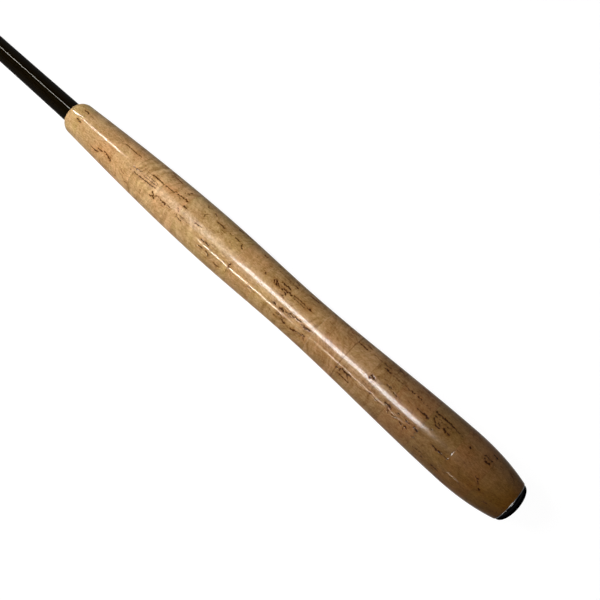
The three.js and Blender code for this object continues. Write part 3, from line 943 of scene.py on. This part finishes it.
def braid_path(index, start_x, end_x):
    """One strand of the braid: half run clockwise, half the other way, passing over and under"""
    clockwise = 1 if index % 2 else -1
    phase = (index // 2) * 4 * math.pi / BRAID_STRANDS
    points = []
    steps = math.ceil((end_x - start_x) / BRAID_PITCH * BRAID_STEPS_PER_TURN)
    for i in range(steps + 1):
        x = mix(start_x, end_x, i / steps)
        turn = 2 * math.pi * (x - start_x) / BRAID_PITCH
        weave = clockwise * math.cos(BRAID_STRANDS / 4 * turn + index // 2 * math.pi)
        inner = mix(root_radius, BRAID_RADIUS, min(1.0, max(0.0, x - tip_end_x)))
        radius = inner - STRAND_RADIUS * (1 + WEAVE_DEPTH) + weave * STRAND_RADIUS * WEAVE_DEPTH
        angle = clockwise * turn + phase
        points.append((x, radius * math.cos(angle), radius * math.sin(angle)))
    return points


def lillian():
    start_x, end_x = span("lillian")
    knot_x = end_x - TAIL_LENGTH - KNOT_LENGTH / 2
    tubes = [tube_along(braid_path(i, start_x, knot_x), STRAND_RADIUS, STRAND_SIDES)
             for i in range(BRAID_STRANDS)]
    knot = []
    for i in range(KNOT_POINTS + 1):
        t = 2 * math.pi * i / KNOT_POINTS
        radius = KNOT_RADII[0] + KNOT_RADII[1] * math.cos(3 * t)
        knot.append((knot_x + (KNOT_LENGTH / 2 - KNOT_CORD_RADIUS) * 0.75 * math.sin(3 * t),
                     radius * math.cos(2 * t), radius * math.sin(2 * t)))
    tubes.append(tube_along(knot, KNOT_CORD_RADIUS, 2 * STRAND_SIDES))
    for i in range(BRAID_STRANDS):
        angle = 2 * math.pi * i / BRAID_STRANDS
        tail = []
        for k in range(TAIL_STEPS + 1):
            t = k / TAIL_STEPS
            radius = mix(*TAIL_SPREAD, t * t)
            tail.append((mix(knot_x, end_x - 0.02 - 0.15 * (i % 3), t),
                         radius * math.cos(angle + 0.8 * t), radius * math.sin(angle + 0.8 * t)))
        tubes.append(tube_along(tail, STRAND_RADIUS * 0.9, STRAND_SIDES))
    vertices = []
    faces = []
    for tube_vertices, tube_faces in tubes:
        base = len(vertices)
        vertices += tube_vertices
        faces += [tuple(base + i for i in face) for face in tube_faces]
    mesh = new_mesh("lillian_fine", vertices, faces)
    smooth(mesh, BRAID_SHARP_ANGLE)
    return show("lillian_fine", mesh)


def braid_material():
    braid = Shader("red_braid", roughness=0.7, specular_ior_level=0.02)
    fibres = braid.noise(braid.scaled(braid.mm, (2, 6, 6)), 2.0, 3, 0.6)
    braid.set("Base Color", braid.tones(fibres, (0.35, 0.02, 0.012), (0.62, 0.05, 0.025)))
    braid.set("Normal", braid.bump(fibres, 0.02, 0.8))
    return braid.material


stand_for(lillian(), "lillian", braid_material())


# Insert, butt cap, O-ring and pad

flange_x, insert_end_x = span("butt_ferrule")
thread_radius = SHANK_RADIUS + CAP_GAP
flange_radius = widest("butt_ferrule", GRIP_FACETS)
head_radius = widest("butt_cap", GRIP_FACETS)
head_end_x = flange_x - CAP_GAP
shank_end_x = span("cap_pad")[0]

# Thread: rows of points in each turn, half of the crest and the flank as shares of the pitch, and how far
# the insert's thread keeps from its two ends
THREAD_ROWS = 12
THREAD_CREST = 0.12
THREAD_FLANK = 0.22
FERRULE_THREAD_ENDS = (0.6, 0.8)


def thread_rows(start, end):
    count = math.ceil((end - start) / THREAD_PITCH * THREAD_ROWS)
    return [mix(start, end, i / count) for i in range(count + 1)]


def thread_cut(x, angle, start, end):
    """How far each point lies down in the thread, from 0 at the crest to 1 at the root"""
    phase = np.mod(x / THREAD_PITCH - angle / (2 * math.pi), 1)
    ramp = np.clip((np.abs(phase - 0.5) - THREAD_CREST) / THREAD_FLANK, 0, 1)
    runout = np.clip(np.minimum(x - start, end - x) / THREAD_PITCH * 2, 0, 1)
    return (1 - ramp) * runout


def butt_ferrule():
    thread = (flange_x + FERRULE_THREAD_ENDS[0], insert_end_x - FERRULE_THREAD_ENDS[1])
    outline = eased([
        (flange_x, flange_radius, 0.1),
        (cork_x, flange_radius, 0.1),
        (cork_x, insert_radius, 0),
        (insert_end_x, insert_radius, 0.15),
        (insert_end_x, thread_radius, 0.15),
    ])
    inside = len(outline)
    outline += [(x, thread_radius) for x in reversed(thread_rows(*thread))]
    outline += [(flange_x, thread_radius + 0.2), (flange_x, mix(thread_radius, flange_radius, 0.5))]

    def warp(x, r, angle):
        grooved = (x >= thread[0]) & (x <= thread[1]) & (np.arange(len(outline))[:, None] >= inside)
        return x, r + np.where(grooved, THREAD_DEPTH * thread_cut(x, angle, *thread), 0)

    return revolve("butt_ferrule_fine", outline, warp=warp)


def turned_metal():
    """Grey anodised aluminium with the fine rings that the lathe tool leaves"""
    metal = Shader("turned_aluminium", metallic=1.0, roughness=0.28)
    x, y, z = metal.axes()
    across = metal.math("SQRT", metal.math("MULTIPLY_ADD", y, y, metal.times(z, z)))
    lines = metal.noise(metal.joined(x, across), 9.0, 3, 0.6)
    wear = metal.noise(metal.mm, 0.5, 4, 0.6)
    metal.set("Base Color", metal.tones(wear, (0.055, 0.054, 0.052), (0.085, 0.084, 0.081)))
    metal.set("Roughness", metal.between(wear, 0.3, 0.7, 0.28, 0.4))
    metal.set("Normal", metal.bump(lines, 0.01, 0.4))
    return metal.material


stand_for(butt_ferrule(), "butt_ferrule", turned_metal())

GROOVE_FROM_HEAD = 1.0
GROOVE_WIDTH = 1.4
RING_WIRE_RADIUS = 0.48
RING_WIRE_SIDES = 24
SHANK_CHAMFER = 0.4
DOME_STEPS = 40

# The slot's cutter, from outside the dome to the slot's wall: place from the dome, and how much wider it is
SLOT_LEVELS = ((-1.0, 0.9), (0.0, 0.14), (0.05, 0.05), (0.14, 0.0))
SLOT_ARC_STEPS = 16

groove_x = head_end_x + GROOVE_FROM_HEAD
groove_radius = thread_radius - 2 * RING_WIRE_RADIUS - 2 * CAP_GAP
dome_base_x = head_end_x - HEAD_RIM
dome_first_turn = math.asin(DOME_FLAT_RADIUS / head_radius)
dome_height = dome_base_x / math.cos(dome_first_turn)


def dome_x(radius):
    """Where the cap's dome lies at a distance from the axis"""
    share = min(max(radius, DOME_FLAT_RADIUS) / head_radius, 1)
    return dome_base_x - dome_height * math.sqrt(1 - share * share)


def slot_cutter():
    """Coin slot with round ends, its edge eased where it meets the dome"""
    straight = (SLOT_LENGTH - SLOT_WIDTH) / 2
    rim = []
    for side in (1, -1):
        for k in range(SLOT_ARC_STEPS + 1):
            turn = math.pi * k / SLOT_ARC_STEPS + (0 if side == 1 else math.pi)
            rim.append((side * straight, math.cos(turn - math.pi / 2), math.sin(turn - math.pi / 2)))
    vertices = []
    levels = [*SLOT_LEVELS, None]
    for level in levels:
        for centre, out_y, out_z in rim:
            offset = level[1] if level else 0.0
            y = centre + out_y * (SLOT_WIDTH / 2 + offset)
            z = out_z * (SLOT_WIDTH / 2 + offset)
            x = SLOT_DEPTH if level is None else dome_x(math.hypot(y, z)) + level[0]
            vertices.append((x * MM, y * MM, z * MM))
    count = len(rim)
    faces = [tuple(range(count))[::-1], tuple(range(count * (len(levels) - 1), count * len(levels)))]
    for i in range(len(levels) - 1):
        for j in range(count):
            k = (j + 1) % count
            faces.append((i * count + j, i * count + k, (i + 1) * count + k, (i + 1) * count + j))
    return show("slot_cutter", new_mesh("slot_cutter", vertices, faces))


def butt_cap():
    thread = (groove_x + GROOVE_WIDTH + 0.3, shank_end_x - SHANK_CHAMFER)
    dome = []
    for i in range(DOME_STEPS):
        turn = mix(dome_first_turn, math.pi / 2, i / DOME_STEPS)
        dome.append((dome_base_x - dome_height * math.cos(turn), head_radius * math.sin(turn), 0))
    outline = eased([
        (0, VENT_RADIUS, 0.12),
        (0, DOME_FLAT_RADIUS * 0.7, 0),
        *dome,
        (dome_base_x, head_radius, 0),
        (head_end_x, head_radius, 0.12),
        (head_end_x, SHANK_RADIUS, 0.1),
        (groove_x, SHANK_RADIUS, 0.1),
        (groove_x, groove_radius, 0.1),
        (groove_x + GROOVE_WIDTH, groove_radius, 0.1),
        (groove_x + GROOVE_WIDTH, SHANK_RADIUS, 0.1),
    ])
    outside = len(outline)
    outline += [(x, SHANK_RADIUS) for x in thread_rows(*thread)]
    outline += eased([
        (shank_end_x - SHANK_CHAMFER, SHANK_RADIUS, 0),
        (shank_end_x, SHANK_RADIUS - SHANK_CHAMFER, 0.1),
        (shank_end_x, VENT_RADIUS, 0.1),
        (0, VENT_RADIUS, 0),
    ])[1:-1]

    def warp(x, r, angle):
        row = np.arange(len(outline))[:, None]
        threaded = (row >= outside) & (x <= thread[1]) & (r >= SHANK_RADIUS - 0.001)
        return x, r - np.where(threaded, THREAD_DEPTH * thread_cut(x, angle, *thread), 0)

    cap = revolve("butt_cap_fine", outline, warp=warp)
    cutter = slot_cutter()
    cut = cap.modifiers.new("slot", "BOOLEAN")
    cut.object = cutter
    cut.operation = "DIFFERENCE"
    cut.solver = "EXACT"
    shaped = bpy.data.meshes.new_from_object(cap.evaluated_get(bpy.context.evaluated_depsgraph_get()))
    cap.modifiers.clear()
    cap.data = shaped
    shaped.name = "butt_cap_fine"
    smooth(shaped)
    bpy.data.objects.remove(cutter)
    return cap


def cap_material():
    """Black anodised metal, polished, with fine wiping marks"""
    cap = Shader("black_gloss", roughness=0.16, specular_ior_level=0.0, coat_roughness=0.04, coat_ior=1.5)
    cap.set("Coat Weight", cap.between(cap.facing(), 0.1, 0.5, 0.15, 0.0))
    wear = cap.noise(cap.mm, 0.6, 4, 0.6)
    scratch = cap.noise(cap.scaled(cap.mm, (1, 1, 14)), 1.2, 3, 0.7)
    cap.set("Base Color", cap.tones(wear, (0.0007, 0.0007, 0.0013), (0.0015, 0.0014, 0.002)))
    cap.set("Roughness", cap.between(wear, 0.3, 0.7, 0.14, 0.3))
    cap.set("Normal", cap.bump(scratch, 0.004, 0.4))
    return cap.material


stand_for(butt_cap(), "butt_cap", cap_material())


def cap_o_ring():
    middle_x = groove_x + GROOVE_WIDTH / 2
    middle_radius = thread_radius - CAP_GAP - RING_WIRE_RADIUS
    outline = []
    for k in range(RING_WIRE_SIDES):
        turn = 2 * math.pi * k / RING_WIRE_SIDES
        outline.append((middle_x - RING_WIRE_RADIUS * math.cos(turn),
                        middle_radius + RING_WIRE_RADIUS * math.sin(turn)))
    return revolve("cap_o_ring_fine", outline)


o_ring_rubber = rubber_material("o_ring_rubber", 0.55, 3.0, 4, (0.012, 0.012, 0.013), (0.028, 0.028, 0.029),
                                0.01)
stand_for(cap_o_ring(), "cap_o_ring", o_ring_rubber)

PAD_DENT_DEPTH = 0.07
PAD_DENT_SPREAD = 0.35
PAD_EASE_STEPS = 6
PAD_FACE_RINGS = 24


def cap_pad():
    start_x, end_x = span("cap_pad")
    pad_radius = widest("cap_pad", TUBE_FACETS)
    rim = widest("section_2", TUBE_FACETS) - SECTION_WALLS[0] / 2

    def warp(x, r, angle):
        """The face that the sections stand on is pressed in a little under the widest one's rim"""
        worn = np.exp(-((r - rim) / PAD_DENT_SPREAD) ** 2) * PAD_DENT_DEPTH
        return np.where(x > end_x - 0.05, x - worn, x), r

    face_radii = np.linspace(pad_radius - 0.4, PAD_HOLE_RADIUS + 0.3, PAD_FACE_RINGS)
    return revolve("cap_pad_fine", eased([
        (start_x, pad_radius, 0.15),
        (end_x, pad_radius, 0.3),
        *((end_x, float(r), 0) for r in face_radii),
        (end_x, PAD_HOLE_RADIUS, 0.2),
        (start_x, PAD_HOLE_RADIUS, 0.15),
    ], PAD_EASE_STEPS), warp=warp)


def foam_material():
    foam = Shader("closed_cell_foam", roughness=0.9, specular_ior_level=0.02)
    cells = foam.add("TexVoronoi", {"Vector": foam.mm, "Scale": 3.2}, feature="DISTANCE_TO_EDGE")
    walls = foam.between(cells.outputs["Distance"], 0.0, 0.25)
    mottle = foam.noise(foam.mm, 0.8, 3)
    shade = foam.times(walls, mottle)
    foam.set("Base Color", foam.tones(shade, (0.02, 0.02, 0.021), (0.07, 0.07, 0.072), 0.1, 0.6))
    foam.set("Normal", foam.bump(walls, 0.06, 0.8))
    return foam.material


stand_for(cap_pad(), "cap_pad", foam_material())


# Light

def aim(place, target):
    """Turn that points a lamp at the target, with its length along the rod as far as that goes"""
    back = (Vector(place) - Vector(target)).normalized()
    forward = Vector((1, 0, 0))
    across = (forward - back * forward.dot(back)).normalized()
    return Matrix((across, back.cross(across), back)).transposed().to_4x4()


def lamp(name, place, target, size, radiance, colour, turn=0, shape="RECTANGLE", lights="gloss"):
    """Lamp of a size along and across the rod that lights surfaces or shows in their gloss; radiance 1 is as
    bright as white paper in plain light"""
    data = bpy.data.lights.new(name, "AREA")
    data.shape = shape
    data.size = size[0] * MM
    data.size_y = size[1] * MM
    data.energy = radiance * math.pi * data.size * data.size_y
    data.color = colour
    made = show(name, data)
    spin = Matrix.Rotation(math.radians(turn), 4, "Z")
    made.matrix_world = Matrix.Translation(Vector(place) * MM) @ aim(place, target) @ spin
    made.visible_glossy = lights == "gloss"
    made.visible_diffuse = lights == "surfaces"


# Lamps for surfaces and for the gloss: name, place, target, size, radiance, colour, turn, shape
SURFACE_LAMPS = (
    ("soft_key", (330, 76, 338), (200, 0, 0), (180, 180), 14.9, (1.0, 0.985, 0.96)),
    ("soft_fill", (60, -500, 700), (150, 0, 0), (600, 600), 0.4, (1, 1, 1)),
    ("soft_side", (150, 260, 250), (140, 0, 0), (150, 150), 0.8, (1.0, 0.98, 0.95)),
)
GLOSS_LAMPS = (
    ("streak_lamp", (241, 85, 800), (140, 0, 0), (320, 225), 108, (0.93, 0.97, 1.0), -8),
    ("streak_start_lamp", (470, 85, 800), (175, 0, 0), (150, 190), 20, (0.97, 0.97, 0.95), -8),
    ("streak_glow", (390, 85, 830), (165, 0, 0), (730, 800), 9, (1.0, 0.95, 0.92), -8, "ELLIPSE"),
    ("front_glow", (640, 85, 830), (200, 0, 0), (330, 700), 7, (1.0, 0.95, 0.9), -8, "ELLIPSE"),
    ("side_streak_lamp", (412, 620, 482), (154, 0, 0), (198, 54), 300, (1.0, 0.96, 0.85)),
    ("front_streak_lamp", (822, -165, 580), (290, 0, 0), (195, 34), 440, (1.0, 0.97, 0.88)),
    ("low_streak_lamp", (-48, 620, 172), (28, 8, 10), (56, 22), 60, (1.0, 0.95, 0.85)),
    ("streak_end_lamp", (588, 55, 800), (188, 0, 12), (75, 40), 85, (1.0, 0.97, 0.9)),
    ("side_end_lamp", (208, 620, 610), (75, 8, 10), (170, 60), 90, (1.0, 0.96, 0.88)),
)
for surface_lamp in SURFACE_LAMPS:
    lamp(*surface_lamp, lights="surfaces")
for gloss_lamp in GLOSS_LAMPS:
    lamp(*gloss_lamp)


# Floor and backdrop

FLOOR_SPREAD = 9000.0
FLOOR_DROP = 0.3
FLOOR_BACK_X = -60.0
FLOOR_GLOW = 0.965
SHADOW_GREY = (0.1, 0.1, 0.1, 1)
THROWN_GREY = (0.12, 0.12, 0.12, 1)
WORLD_LIGHT = 0.12
OVERHEAD = {"From Min": 0.3, "From Max": 0.6, "To Min": 1.0, "To Max": 0.04}


def floor_mesh():
    """Floor that the rod lies on: it meets the grip's front swell and the mouth band, and is level beyond"""
    front_place, front_r, _ = CORK_OUTLINE[3]
    front_x = cork_x + front_place
    band_x = span("mouth_band")[1]
    band_r = widest("mouth_band", TUBE_FACETS)
    slope = (front_r - band_r) / (band_x - front_x)

    def height(x):
        return -front_r + (x - front_x) * slope - FLOOR_DROP

    low, high = height(FLOOR_BACK_X), height(band_x)
    vertices = []
    for x, z in ((-FLOOR_SPREAD, low), (FLOOR_BACK_X, low), (band_x, high), (FLOOR_SPREAD, high)):
        for y in (-FLOOR_SPREAD, FLOOR_SPREAD):
            vertices.append((x * MM, y * MM, z * MM))
    return new_mesh("floor", vertices, [(2 * i, 2 * i + 2, 2 * i + 3, 2 * i + 1) for i in range(3)])


def floor_material():
    """White with a soft shadow where it is seen, grey for the light it throws back, clear from below"""
    material = bpy.data.materials.new("floor")
    nodes = Nodes(material)
    nodes.tree.nodes.clear()
    glow = nodes.add("Emission", {"Strength": FLOOR_GLOW}).outputs[0]
    shaded = nodes.add("BsdfDiffuse", {"Color": SHADOW_GREY}).outputs[0]
    shown = nodes.add("AddShader", {0: glow, 1: shaded}).outputs[0]
    thrown = nodes.add("BsdfDiffuse", {"Color": THROWN_GREY}).outputs[0]
    above = nodes.add("MixShader", {0: nodes.seen_directly(), 1: thrown, 2: shown}).outputs[0]
    below = nodes.add("NewGeometry").outputs["Backfacing"]
    clear = nodes.add("BsdfTransparent").outputs[0]
    both = nodes.add("MixShader", {0: below, 1: above, 2: clear}).outputs[0]
    nodes.add("OutputMaterial", {0: both})
    return material


floor = show("floor", floor_mesh())
floor.data.materials.append(floor_material())


def make_world():
    """White behind the object, dark overhead in reflections, a dim even grey as light"""
    world = bpy.data.worlds.new("studio")
    bpy.context.scene.world = world
    nodes = Nodes(world)
    way = nodes.add("TexCoord").outputs["Generated"]
    upward = nodes.add("SeparateXYZ", {0: way}).outputs[2]
    overhead = nodes.add("MapRange", {"Value": upward, **OVERHEAD}).outputs[0]
    to_camera = nodes.add("LightPath").outputs["Is Camera Ray"]
    shown = nodes.math("MAXIMUM", overhead, to_camera)
    strength = nodes.add("Mix", {0: nodes.seen_directly(), 2: WORLD_LIGHT, 3: shown})
    background = nodes.tree.nodes["Background"]
    background.inputs["Color"].default_value = (1, 1, 1, 1)
    nodes.tree.links.new(strength.outputs[0], background.inputs["Strength"])


make_world()

bpy.context.scene.view_settings.view_transform = "Standard"
